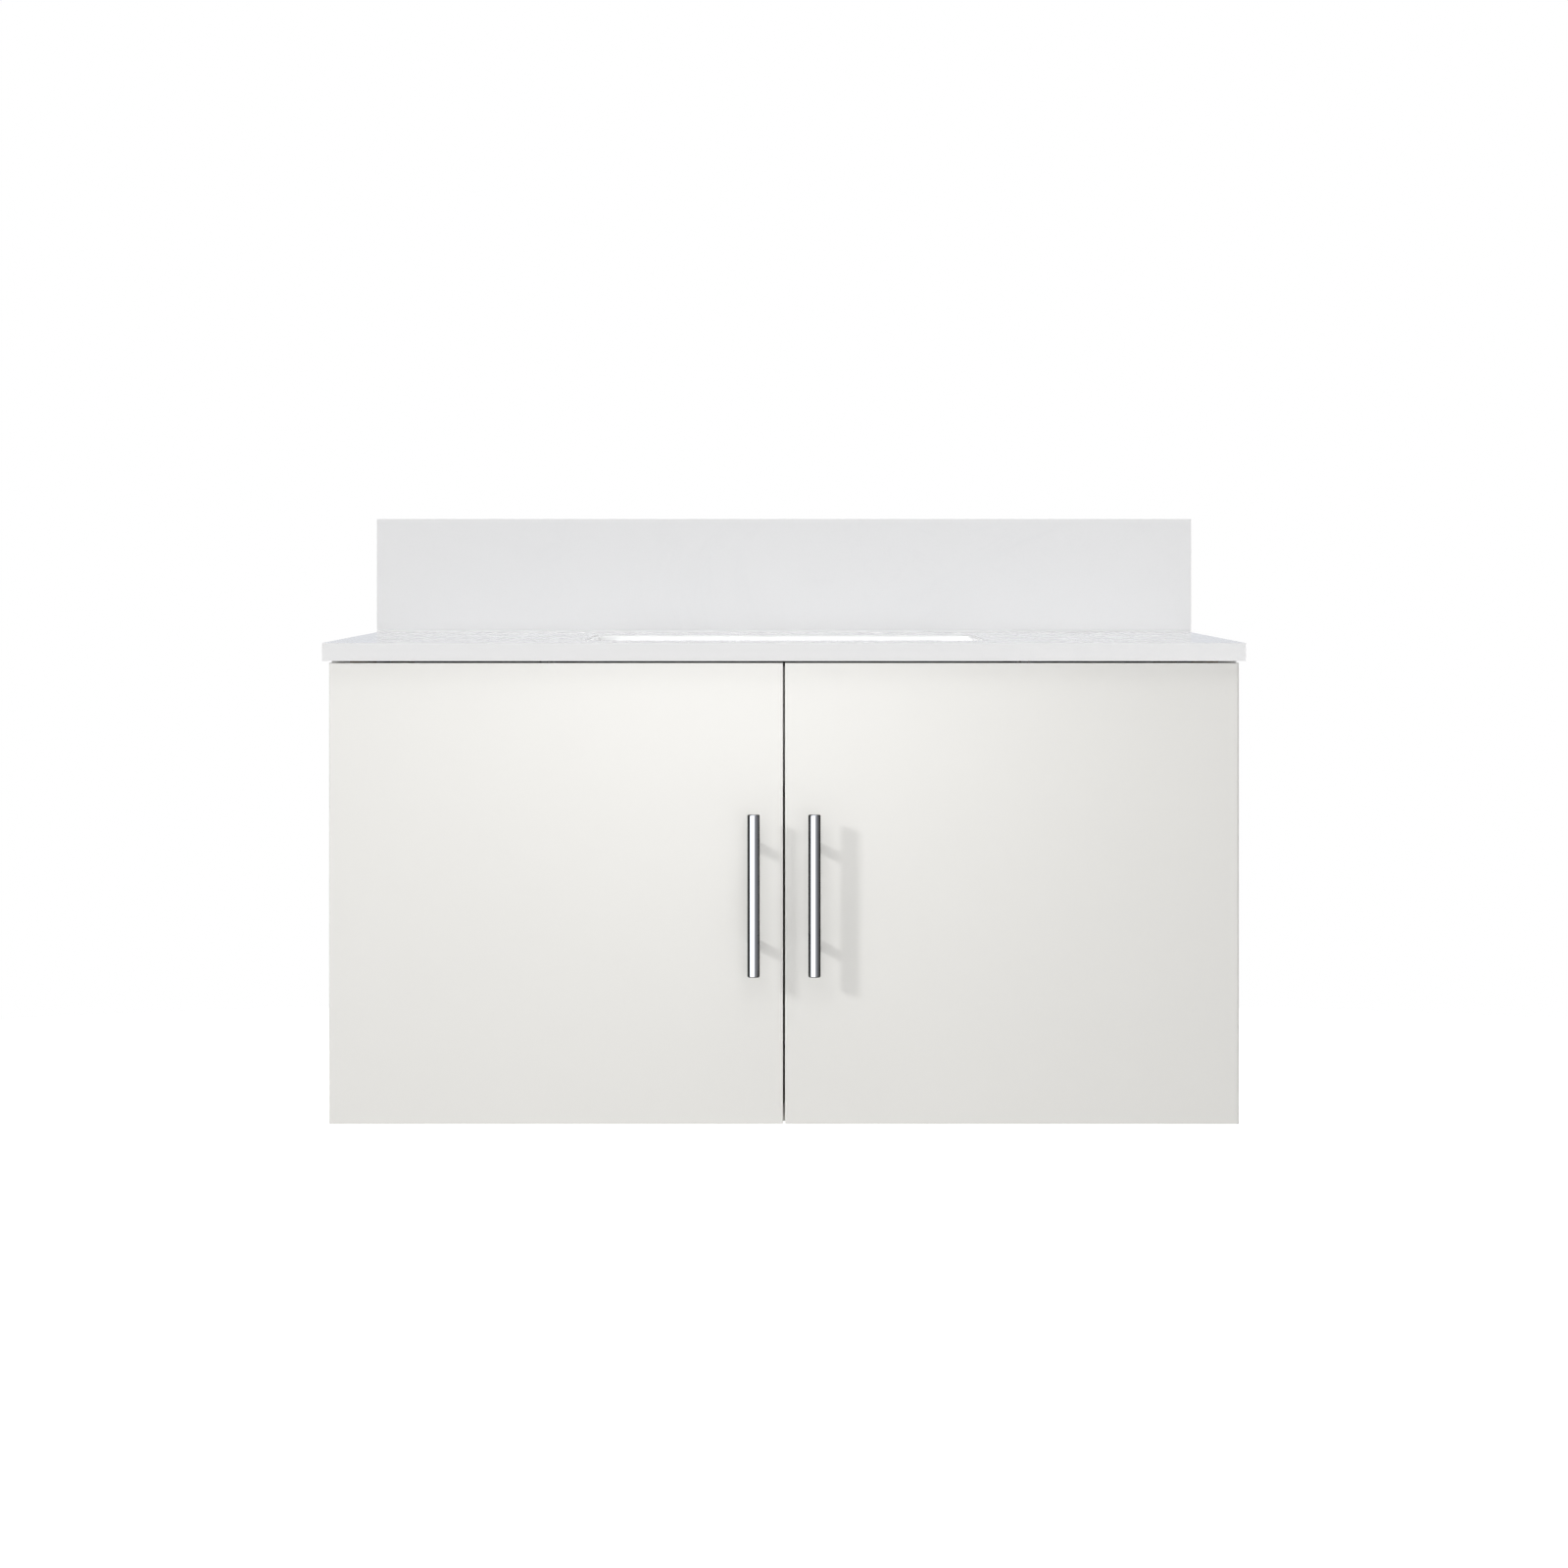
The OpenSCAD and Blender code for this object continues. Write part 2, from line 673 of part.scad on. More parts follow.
// Round bar with eased ends
module handle_bar(side) {
    ease = 0.8;
    seat_depth = 2;
    color(chrome) at_handle(side) difference() {
        translate([0, -bar_stand_off, -bar_l / 2]) rotate_extrude() polygon([
            [0, 0], [bar_d / 2 - ease, 0], [bar_d / 2, ease],
            [bar_d / 2, bar_l - ease], [bar_d / 2 - ease, bar_l], [0, bar_l]
        ]);
        for (dz = [-1, 1] * post_spacing / 2)
            translate([0, 0, dz]) rod_y(post_d / 2 - 1, -bar_stand_off + seat_depth, 0);
    }
}

// Post with a saddle end round the bar, a spigot into it, and a threaded hole for the screw
module handle_posts(side) {
    seat_depth = 2;
    color(chrome) at_handle(side)
        for (dz = [-1, 1] * post_spacing / 2) translate([0, 0, dz]) {
            difference() {
                union() {
                    difference() {
                        rod_y(post_d / 2, -bar_stand_off, 0);
                        translate([0, -bar_stand_off, -post_d]) cylinder(r = bar_d / 2, h = 2 * post_d);
                    }
                    rod_y(post_d / 2 - 1 - running_gap, -bar_stand_off + seat_depth, -1);
                }
                rod_y(2 + running_gap, -15, cut);
            }
        }
}

module handle_screws(side) {
    color(nickel) at_handle(side)
        for (dz = [-1, 1] * post_spacing / 2)
            translate([0, door_t, dz]) rotate([-90, 0, 0]) pan_screw(2, door_t + 12, 3.8, 2.2);
}

module door_bumpers(side) {
    color(rubber_clear) on_side(side)
        for (z = [front_rail_top - front_rail_h / 2, cabinet_bottom + board_t / 2])
            translate([-bumper_inset, door_back_y + bumper_t, z]) rotate([90, 0, 0]) {
                cylinder(r = 4.6, h = bumper_t);
                translate([0, 0, bumper_t * 0.35]) cylinder(r = 5, h = bumper_t * 0.65);
            }
}

side_panel(left);  // left_side_panel
side_panel(right);  // right_side_panel
bottom_panel();
front_rail();
hanging_rail();
lower_back_rail();
back_panel();
corner_blocks();
corner_block_screws();
carcass_dowels();
worktop();
backsplash();
backsplash_sealant();
basin();
basin_sealant();
basin_clips();
basin_clip_studs();
basin_wing_nuts();
hinge_plates(left);  // left_hinge_plates
hinge_plate_screws(left);  // left_hinge_plate_screws
hinge_arms(left);  // left_hinge_arms
hinge_links(left);  // left_hinge_links
hinge_rivets(left);  // left_hinge_rivets
hinge_adjusters(left);  // left_hinge_adjusters
hinge_plates(right);  // right_hinge_plates
hinge_plate_screws(right);  // right_hinge_plate_screws
hinge_arms(right);  // right_hinge_arms
hinge_links(right);  // right_hinge_links
hinge_rivets(right);  // right_hinge_rivets
hinge_adjusters(right);  // right_hinge_adjusters
door(left);  // left_door
hinge_cups(left);  // left_hinge_cups
hinge_cup_screws(left);  // left_hinge_cup_screws
hinge_pins(left);  // left_hinge_pins
handle_bar(left);  // left_handle_bar
handle_posts(left);  // left_handle_posts
handle_screws(left);  // left_handle_screws
door_bumpers(left);  // left_door_bumpers
door(right);  // right_door
hinge_cups(right);  // right_hinge_cups
hinge_cup_screws(right);  // right_hinge_cup_screws
hinge_pins(right);  // right_hinge_pins
handle_bar(right);  // right_handle_bar
handle_posts(right);  // right_handle_posts
handle_screws(right);  // right_handle_screws
door_bumpers(right);  // right_door_bumpers
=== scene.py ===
"""Looks of a wall-hung bathroom vanity: finishes, a glazed basin and a plain studio round the CAD frame."""

import json
import math

import bmesh
import bpy
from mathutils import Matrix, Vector


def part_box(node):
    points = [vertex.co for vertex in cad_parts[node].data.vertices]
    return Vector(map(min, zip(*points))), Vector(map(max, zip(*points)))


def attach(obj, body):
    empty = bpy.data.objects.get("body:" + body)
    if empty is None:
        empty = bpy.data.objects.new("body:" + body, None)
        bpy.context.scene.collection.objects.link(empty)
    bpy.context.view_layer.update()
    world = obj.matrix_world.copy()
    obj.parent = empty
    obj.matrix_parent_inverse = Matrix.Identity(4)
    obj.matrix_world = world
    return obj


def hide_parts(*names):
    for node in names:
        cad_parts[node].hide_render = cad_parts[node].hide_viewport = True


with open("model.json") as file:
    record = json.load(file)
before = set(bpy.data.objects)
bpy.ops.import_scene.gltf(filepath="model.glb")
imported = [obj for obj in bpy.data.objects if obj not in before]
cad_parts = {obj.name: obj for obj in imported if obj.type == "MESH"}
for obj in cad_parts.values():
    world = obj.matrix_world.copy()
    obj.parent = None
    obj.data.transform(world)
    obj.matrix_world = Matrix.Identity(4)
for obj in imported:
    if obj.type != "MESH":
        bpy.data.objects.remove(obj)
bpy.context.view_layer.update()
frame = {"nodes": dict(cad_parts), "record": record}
scene = bpy.context.scene

# ---------- Places taken from the frame, in metres ----------

WORKTOP_HEIGHT = 0.86  # the usual height above the floor

worktop_low, worktop_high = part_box("worktop")
basin_low, basin_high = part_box("basin")
basin_centre = (basin_low + basin_high) / 2
front_y = worktop_low.y
top_z = worktop_high.z
floor_z = top_z - WORKTOP_HEIGHT

# ---------- Camera ----------

CAMERA_DISTANCE = 4.013  # from the front edge of the worktop
CAMERA_RISE = 0.0894  # above the worktop
LENS = 93.1  # in millimetres, as is the sensor
SENSOR = 36.0
FRAME_DROP = -0.1476  # the picture's centre lies below the level line of sight


def make_camera():
    data = bpy.data.cameras.new("camera")
    data.lens = LENS
    data.sensor_width = SENSOR
    data.shift_y = FRAME_DROP
    camera = bpy.data.objects.new("camera", data)
    camera.location = (0, front_y - CAMERA_DISTANCE, top_z + CAMERA_RISE)
    camera.rotation_euler = (math.radians(90), 0, 0)
    scene.collection.objects.link(camera)
    scene.camera = camera


# ---------- Studio ----------

FILL = 0.32  # light that reaches everything from all round
WHITE = (1, 1, 1, 1)
COOL_WHITE = (0.93, 0.95, 1.0, 1)
FLOOR_COLOUR = (0.93, 0.93, 0.93, 1)
FLOOR_GLOW = 0.66  # lifts the floor that mirrors see towards white, as in a studio cove
FLOOR_LIFT = 0.14  # what the camera sees of the floor is lifted by this much more
FLOOR_RADIUS = 4.0
FLOOR_SIDES = 96
# What glossy surfaces mirror: (azimuth in degrees, 0 towards the camera and 90 to the right, brightness)
MIRRORED = [
    (-180, 0.80), (-120, 0.60), (-84, 0.10), (-74, 0.10), (-66, 2.6), (8, 2.6), (16, 1.4),
    (24, 0.62), (60, 0.30), (84, 0.16), (120, 0.60), (180, 0.80),
]
CEILING = 1.15  # brightness that glossy surfaces mirror from above
CEILING_FROM, CEILING_FULL = 0.45, 0.75  # upward part of a direction where the ceiling begins and is full
STONE = ("worktop", "backsplash")  # lit more evenly than the rest, by panels of its own
# Which pieces each kind of limited lamp names, and whether it lights them alone or all but them
REACHES = {
    "rest": (STONE, "EXCLUDE"),
    "stone": (STONE, "INCLUDE"),
    "basin": (("basin_glazed",), "INCLUDE"),
}
# name, place, aim, width, height, power, reach ("all" for no limit)
LAMPS = [
    ("key", (-2.14, -2.342, 1.09), (0, -0.553, -0.01), 0.30, 0.30, 24, "rest"),
    ("overhead", (0, -0.80, 1.60), (0, -0.40, 0.24), 1.4, 0.7, 12.7, "rest"),
    ("low_panel", (0.50, -2.00, -0.10), (0.40, -0.55, -0.10), 0.9, 0.6, 1.7, "rest"),
    ("near_panel", (-0.05, -1.00, 0.30), (-0.05, 0, 0.10), 0.4, 0.3, 0.63, "rest"),
    ("stone_left", (-1.8, -3.8, 0.9), (-0.1, -0.3, 0.25), 1.6, 1.0, 35.5, "stone"),
    ("stone_right", (1.8, -3.8, 0.9), (0.1, -0.3, 0.25), 1.6, 1.0, 49, "stone"),
    ("stone_top", (0, 0.02, 2.0), (0, -0.30, 0.24), 1.6, 0.25, 19, "stone"),
    ("bowl_edge", (-1.8, -0.33, 0.45), (0.2, -0.33, 0.23), 0.4, 0.2, 11, "basin"),
    ("left_side", (-3.0, 0.4, 0.6), (-0.45, -0.2, 0), 1.4, 1.2, 6, "all"),
    ("right_side", (3.0, 0.4, 0.6), (0.45, -0.2, 0), 1.4, 1.2, 16, "all"),
    ("behind", (0, 3.2, 0.9), (0, 0, 0.05), 2.0, 1.2, 16, "all"),
]


class Nodes:
    """Short names for adding and joining nodes in one tree."""

    def __init__(self, tree):
        self.tree = tree
        self.tree.nodes.clear()

    def add(self, kind, inputs=None, **settings):
        node = self.tree.nodes.new(kind)
        for name, value in settings.items():
            setattr(node, name, value)
        self.fill(node, inputs or {})
        return node

    def fill(self, node, inputs):
        """Joins each input to the socket given for it, or sets it to the value given."""
        for socket, value in inputs.items():
            if isinstance(value, bpy.types.NodeSocket):
                self.tree.links.new(value, node.inputs[socket])
            else:
                node.inputs[socket].default_value = value

    def math(self, operation, first, second=0.0, clamp=False):
        node = self.add("ShaderNodeMath", {0: first, 1: second}, operation=operation, use_clamp=clamp)
        return node.outputs[0]

    def ramp(self, factor, stops, smooth=False):
        node = self.add("ShaderNodeValToRGB", {0: factor})
        node.color_ramp.interpolation = "EASE" if smooth else "LINEAR"
        elements = node.color_ramp.elements
        while len(elements) < len(stops):
            elements.new(0.5)
        for element, (position, value) in zip(elements, stops):
            element.position = position
            element.color = (value, value, value, 1)
        return node.outputs[0]

    def mix(self, factor, first, second, blend="MIX"):
        colours = {0: factor, 6: first, 7: second}
        return self.add("ShaderNodeMix", colours, data_type="RGBA", blend_type=blend).outputs[2]

    def axis(self, vector, index):
        """One of the three parts of a vector."""
        return self.add("ShaderNodeSeparateXYZ", {0: vector}).outputs[index]

    def noise(self, coords, scale, detail=3.0, roughness=0.5, distortion=0.0):
        node = self.add("ShaderNodeTexNoise", {
            "Vector": coords, "Scale": scale, "Detail": detail,
            "Roughness": roughness, "Distortion": distortion,
        })
        return node.outputs["Fac"]


def make_world():
    world = bpy.data.worlds.new("studio")
    world.use_nodes = True
    scene.world = world
    n = Nodes(world.node_tree)
    direction = n.add("ShaderNodeTexCoord").outputs["Generated"]
    sideways, forwards, up = (n.axis(direction, index) for index in range(3))
    azimuth = n.math("ARCTAN2", sideways, n.math("MULTIPLY", forwards, -1.0))
    as_turn = {0: azimuth, 1: 0.5 / math.pi, 2: 0.5}
    turn = n.add("ShaderNodeMath", as_turn, operation="MULTIPLY_ADD").outputs[0]
    peak = max(value for _, value in MIRRORED)
    stops = [((angle + 180) / 360, value / peak) for angle, value in MIRRORED]
    around = n.math("MULTIPLY", n.ramp(turn, stops), peak)
    upward = n.ramp(up, [(CEILING_FROM, 0.0), (CEILING_FULL, 1.0)], smooth=True)
    above = n.math("MULTIPLY", upward, CEILING)
    below_ceiling = n.math("MULTIPLY", around, n.math("SUBTRACT", 1.0, upward))
    brightness = n.math("ADD", above, below_ceiling)
    mirrored = n.add("ShaderNodeBackground", {"Color": COOL_WHITE, "Strength": brightness})
    fill = n.add("ShaderNodeBackground", {"Color": WHITE, "Strength": FILL})
    backdrop = n.add("ShaderNodeBackground", {"Color": WHITE, "Strength": 1.0})
    ray = n.add("ShaderNodeLightPath")
    lit = n.add("ShaderNodeMixShader", {
        0: ray.outputs["Is Glossy Ray"], 1: fill.outputs[0], 2: mirrored.outputs[0],
    })
    seen = n.add("ShaderNodeMixShader", {
        0: ray.outputs["Is Camera Ray"], 1: lit.outputs[0], 2: backdrop.outputs[0],
    })
    n.add("ShaderNodeOutputWorld", {"Surface": seen.outputs[0]})


def limit_lamps():
    """Keeps each limited lamp to the pieces that its reach stands for. The pieces must be there already."""
    for name, *_, reach in LAMPS:
        if reach not in REACHES:
            continue
        pieces, state = REACHES[reach]
        group = bpy.data.collections.new(name + "_reach")
        for piece in pieces:
            group.objects.link(bpy.data.objects[piece])
        for entry in group.collection_objects:
            entry.light_linking.link_state = state
        bpy.data.objects[name].light_linking.receiver_collection = group


def add_lamp(name, place, aim, width, height, power):
    """A soft panel that neither the camera nor mirrors see."""
    data = bpy.data.lights.new(name, "AREA")
    data.shape = "RECTANGLE"
    data.size = width
    data.size_y = height
    data.energy = power
    lamp = bpy.data.objects.new(name, data)
    lamp.location = place
    lamp.rotation_euler = (Vector(aim) - Vector(place)).to_track_quat("-Z", "Y").to_euler()
    lamp.visible_glossy = False
    lamp.visible_camera = False
    scene.collection.objects.link(lamp)


def make_floor():
    """A round pale floor that is clear from below. Cameras and mirrors see it glow, so no horizon shows."""
    floor_mesh = bpy.data.meshes.new("floor")
    turns = [2 * math.pi * i / FLOOR_SIDES for i in range(FLOOR_SIDES)]
    rim = [(FLOOR_RADIUS * math.cos(a), FLOOR_RADIUS * math.sin(a), floor_z) for a in turns]
    floor_mesh.from_pydata(rim, [], [tuple(range(FLOOR_SIDES))])
    floor = bpy.data.objects.new("floor", floor_mesh)
    scene.collection.objects.link(floor)
    material = bpy.data.materials.new("pale_floor")
    material.use_nodes = True
    n = Nodes(material.node_tree)
    matt = n.add("ShaderNodeBsdfDiffuse", {"Color": FLOOR_COLOUR})
    ray = n.add("ShaderNodeLightPath").outputs
    seen = n.math("MAXIMUM", ray["Is Camera Ray"], ray["Is Glossy Ray"])
    lift = n.math("MULTIPLY", ray["Is Camera Ray"], FLOOR_LIFT)
    strength = n.math("ADD", n.math("MULTIPLY", seen, FLOOR_GLOW), lift)
    glow = n.add("ShaderNodeEmission", {"Color": FLOOR_COLOUR, "Strength": strength})
    both = n.add("ShaderNodeAddShader", {0: matt.outputs[0], 1: glow.outputs[0]})
    clear = n.add("ShaderNodeBsdfTransparent")
    below = n.add("ShaderNodeNewGeometry").outputs["Backfacing"]
    one_sided = n.add("ShaderNodeMixShader", {0: below, 1: both.outputs[0], 2: clear.outputs[0]})
    n.add("ShaderNodeOutputMaterial", {"Surface": one_sided.outputs[0]})
    floor_mesh.materials.append(material)


# ---------- Sizes of the basin, in metres ----------

BOWL_HALF = Vector((0.1975, 0.1225))  # half the inside width and depth at the rim
BOWL_DEPTH = 0.140  # below the worktop's top face
TAPER = 0.028  # how far the walls lean in
WALL = 0.008
RIM_R = 0.020  # inside corner radius at the rim
RIM_ROUND = 0.002  # rounding of the rim's two edges
FLOOR_R = 0.030  # radius between walls and floor
FLOOR_CORNER_R = 0.012  # corner radius of the flat part of the floor
FLOOR_EDGE = -TAPER - FLOOR_R  # where the flat part ends, measured outwards from the rim
FLOOR_FALL = 0.0006  # from the edge of the floor to the drain
COLLAR = 0.006  # thickness of the rim inside the cut-out
FLANGE = 0.031  # width of the flange under the worktop
FLANGE_T = 0.013  # its thickness
FLANGE_GAP = 0.001  # sealant between flange and worktop
FLANGE_CORNER_R = RIM_R + FLANGE - 0.010
GLAZED_REACH = 0.010  # how far the glaze goes outwards from the inside of the rim
DRAIN_R = 0.0225
BOSS_R = 0.0315  # outside of the drain's neck
RECESS_R = 0.0305  # seat of the drain fitting
RECESS_DEPTH = 0.0025
BOSS_EDGE = 0.001  # rounding of the neck's lower edge
BOSS_FILLET = 0.003  # rounding between neck and floor
FLANGE_FILLET = 0.004  # rounding between wall and flange
FLANGE_LOW_ROUND = 0.003
FLANGE_TOP_ROUND = 0.002
COLLAR_FILLET = 0.0005  # rounding between flange and collar
OVERFLOW_R = 0.009
OVERFLOW_BELOW = 0.050  # from the worktop's top face down to the overflow
OVERFLOW_DEPTH = 0.034  # length of the hole's cutter, from the bowl's inside to the channel
OVERFLOW_SHIFT = 0.007  # how far the cutter's middle lies inside the bowl's rim
DUCT = 0.010  # how far the overflow duct stands in front of the wall
DUCT_TOP, DUCT_BOTTOM = 0.010, 0.0175  # of the duct under the bowl, measured down from its floor
DUCT_HALF = 0.017  # half the duct's width
CHANNEL_WALL = 0.005  # round the duct
CHANNEL_HALF = 0.023  # half the width of the duct with its walls
SOFT_EDGE = 0.0008  # rounding of the edges round the drain
ARC_BOW = 0.3  # how far the middle of a fillet stands off its two faces, as a share of its radius

rim_z = basin_high.z
bowl_floor = top_z - BOWL_DEPTH
flange_top = worktop_low.z - FLANGE_GAP
flange_low = flange_top - FLANGE_T
lean = math.atan(TAPER / (rim_z - bowl_floor - FLOOR_R))  # of the walls, from upright

# How finely the bowl is divided: along its long and short sides, round a corner, and up and down
SIDE_STEPS = (18, 12)
CORNER_STEPS = 12
ROUND_STEPS = 4
FILLET_STEPS = 8
WALL_STEPS = 12
FLOOR_STEPS = 10
OUTSIDE_STEPS = 8


# ---------- Finishes ----------

def new_material(name):
    material = bpy.data.materials.new(name)
    material.use_nodes = True
    n = Nodes(material.node_tree)
    shader = n.add("ShaderNodeBsdfPrincipled")
    n.add("ShaderNodeOutputMaterial", {"Surface": shader.outputs[0]})
    coords = n.add("ShaderNodeTexCoord").outputs["Object"]
    return material, n, shader, coords


def bump(n, height, depth, strength):
    node = n.add("ShaderNodeBump", {"Height": height, "Distance": depth, "Strength": strength})
    return node.outputs[0]


def between(n, factor, low, high):
    """A number between low and high from a factor between 0 and 1."""
    node = n.add("ShaderNodeMapRange", {"Value": factor, "To Min": low, "To Max": high})
    return node.outputs[0]


def satin_paint(name, colour, roughness, raw_back):
    """Sprayed satin paint with a faint orange peel. Faces that lie on the wall are bare board."""
    material, n, shader, coords = new_material(name)
    cloud = n.noise(coords, 3.0, detail=2.0)
    peel = n.noise(coords, 620.0, detail=2.0, roughness=0.6)
    mottle = n.noise(coords, 45.0, detail=3.0)
    shaded = tuple(c * 0.975 for c in colour[:3]) + (1,)
    base = n.mix(cloud, shaded, colour)
    rough = between(n, mottle, roughness - 0.04, roughness + 0.05)
    if raw_back:
        backwards = n.axis(n.add("ShaderNodeTexCoord").outputs["Normal"], 1)
        bare = n.math("GREATER_THAN", backwards, 0.9)
        fibre = n.noise(coords, 380.0, detail=5.0, roughness=0.75)
        stain = n.noise(coords, 5.0, detail=4.0, roughness=0.6)
        board = n.mix(fibre, (0.24, 0.155, 0.09, 1), (0.56, 0.42, 0.28, 1))
        board = n.mix(n.ramp(stain, [(0.35, 0.0), (0.65, 0.35)]), board, (0.60, 0.47, 0.33, 1))
        base = n.mix(bare, base, board)
        rough = n.math("MAXIMUM", rough, n.math("MULTIPLY", bare, 0.85))
    n.fill(shader, {
        "Base Color": base, "Roughness": rough, "IOR": 1.48,
        "Normal": bump(n, peel, 0.00003, 0.35),
    })
    return material


def polished_marble():
    """Pale stone: drifting clouds, thin branching veins that show most on the top, and fine speckle."""
    material, n, shader, coords = new_material("marble")
    stretched = n.add("ShaderNodeMapping", {
        "Vector": coords, "Rotation": (0.2, 0.3, 0.55), "Scale": (1.0, 1.9, 1.4),
    }).outputs[0]
    cloud = n.noise(stretched, 4.0, detail=5.0, roughness=0.55, distortion=0.6)
    ridge = n.noise(stretched, 2.6, detail=7.0, roughness=0.62, distortion=1.3)
    fold = n.math("ABSOLUTE", n.math("SUBTRACT", ridge, 0.5))
    vein = n.ramp(fold, [(0.0, 1.0), (0.012, 0.55), (0.05, 0.0)])
    hair_noise = n.noise(stretched, 7.0, detail=6.0, roughness=0.6, distortion=1.8)
    hair_fold = n.math("ABSOLUTE", n.math("SUBTRACT", hair_noise, 0.47))
    hair = n.ramp(hair_fold, [(0.0, 0.6), (0.008, 0.25), (0.02, 0.0)])
    patches = n.ramp(n.noise(coords, 1.7, detail=2.0), [(0.40, 0.15), (0.62, 1.0)], smooth=True)
    marks = n.math("MULTIPLY", n.math("MAXIMUM", vein, hair), patches)
    upwards = n.axis(n.add("ShaderNodeTexCoord").outputs["Normal"], 2)
    flat = n.ramp(n.math("ABSOLUTE", upwards), [(0.4, 0.15), (0.8, 1.0)])
    haze = between(n, flat, 0.5, 0.0)
    drift = n.math("ADD", n.math("MULTIPLY", cloud, flat), haze)
    base = n.mix(drift, (0.774, 0.769, 0.761, 1), (0.812, 0.807, 0.799, 1))
    # Upward faces are multiplied by a cooler, slightly darker tint: a painted reflection of the cool
    # surroundings that the polished top mirrors, not a colour of the stone
    base = n.mix(flat, base, (0.945, 0.960, 0.990, 1), blend="MULTIPLY")
    depth = n.math("MULTIPLY", n.math("MULTIPLY", marks, flat), 0.38)
    base = n.mix(depth, base, (0.47, 0.49, 0.53, 1))
    speck = n.ramp(n.noise(coords, 900.0, detail=1.0), [(0.30, 0.98), (0.42, 1.0)])
    base = n.mix(1.0, base, speck, blend="MULTIPLY")
    rough = between(n, n.noise(coords, 30.0), 0.10, 0.16)
    ripple = n.noise(coords, 14.0, detail=1.0)
    n.fill(shader, {
        "Base Color": base, "Roughness": rough, "IOR": 1.5,
        "Normal": bump(n, ripple, 0.00006, 0.3),
    })
    return material


def glazed_porcelain():
    """White glaze over a slightly uneven body, thinner and warmer at sharp edges. The flange is unglazed."""
    material, n, shader, coords = new_material("porcelain")
    pool = n.noise(coords, 22.0, detail=2.0)
    edge = n.add("ShaderNodeNewGeometry").outputs["Pointiness"]
    thin = n.ramp(edge, [(0.52, 0.0), (0.62, 1.0)])
    base = n.mix(pool, (0.905, 0.91, 0.915, 1), (0.93, 0.932, 0.93, 1))
    base = n.mix(n.math("MULTIPLY", thin, 0.5), base, (0.86, 0.85, 0.825, 1))
    past_rim = []
    for index in range(2):
        from_centre = n.math("ABSOLUTE", n.math("SUBTRACT", n.axis(coords, index), basin_centre[index]))
        past_rim.append(n.math("SUBTRACT", from_centre, BOWL_HALF[index]))
    outside = n.math("GREATER_THAN", n.math("MAXIMUM", *past_rim), GLAZED_REACH)
    above_walls = n.math("GREATER_THAN", n.axis(coords, 2), flange_low - 0.001)
    unglazed = n.math("MULTIPLY", outside, above_walls)
    base = n.mix(unglazed, base, (0.70, 0.68, 0.65, 1))
    rough = n.math("MAXIMUM", between(n, pool, 0.04, 0.08), n.math("MULTIPLY", unglazed, 0.9))
    pin = n.ramp(n.noise(coords, 1500.0, detail=0.0), [(0.16, 0.0), (0.20, 1.0)])
    wave = n.math("ADD", n.noise(coords, 16.0, detail=1.0), n.math("MULTIPLY", pin, 0.04))
    n.fill(shader, {
        "Base Color": base, "Roughness": rough, "IOR": 1.6, "Normal": bump(n, wave, 0.0002, 0.25),
    })
    return material


def plated_metal(name, colour, roughness, edge_tint, scratches, painted_dark_edges=0.0):
    """Plated metal with fine wiping marks along the piece and a little haze.

    Given a dark-edge value, the base colour (the gloss) of an upright round bar falls to it towards its two
    outlines as seen: a painted dark reflection of a dark room, not a property of the plating.
    """
    material, n, shader, coords = new_material(name)
    along = n.add("ShaderNodeMapping", {"Vector": coords, "Scale": (1.0, 1.0, 0.06)}).outputs[0]
    marks = n.noise(along, 2600.0, detail=2.0, roughness=0.7)
    haze = n.noise(coords, 60.0, detail=4.0, roughness=0.6)
    dull = tuple(c * 0.93 for c in colour[:3]) + (1,)
    plate = n.mix(haze, dull, colour)
    if painted_dark_edges:
        facing = n.math("SUBTRACT", 1.0, n.add("ShaderNodeLayerWeight", {"Blend": 0.5}).outputs["Facing"])
        upright = n.add("ShaderNodeCombineXYZ", {2: 1.0})
        above = n.add("ShaderNodeLayerWeight", {"Blend": 0.5, "Normal": upright.outputs[0]}).outputs["Facing"]
        rise = n.math("SUBTRACT", 1.0, above)
        level = n.math("SQRT", n.math("SUBTRACT", 1.0, n.math("MULTIPLY", rise, rise), clamp=True))
        across = n.math("DIVIDE", facing, n.math("MAXIMUM", level, 0.05))
        # Painted dark reflection: the bar's colour is darkened where its surface turns away from the view
        plate = n.mix(n.ramp(across, [(0.66, 1.0), (0.72, 0.0)]), plate, (painted_dark_edges,) * 3 + (1,))
    n.fill(shader, {
        "Base Color": plate, "Metallic": 1.0,
        "Roughness": between(n, haze, roughness * 0.8, roughness * 1.3),
        "Specular Tint": edge_tint, "Normal": bump(n, marks, scratches, 0.5),
    })
    return material


def bare_wood():
    """Beech: long pale grain with short dark flecks."""
    material, n, shader, coords = new_material("beech")
    grain = n.add("ShaderNodeMapping", {"Vector": coords, "Scale": (1.0, 0.12, 1.0)}).outputs[0]
    rings = n.noise(grain, 90.0, detail=4.0, roughness=0.6, distortion=0.8)
    fleck = n.ramp(n.noise(grain, 700.0, detail=1.0), [(0.62, 0.0), (0.70, 1.0)])
    base = n.mix(rings, (0.56, 0.38, 0.22, 1), (0.78, 0.61, 0.42, 1))
    base = n.mix(n.math("MULTIPLY", fleck, 0.6), base, (0.36, 0.22, 0.12, 1))
    n.fill(shader, {
        "Base Color": base, "Roughness": between(n, rings, 0.5, 0.68),
        "Normal": bump(n, rings, 0.0001, 0.5),
    })
    return material


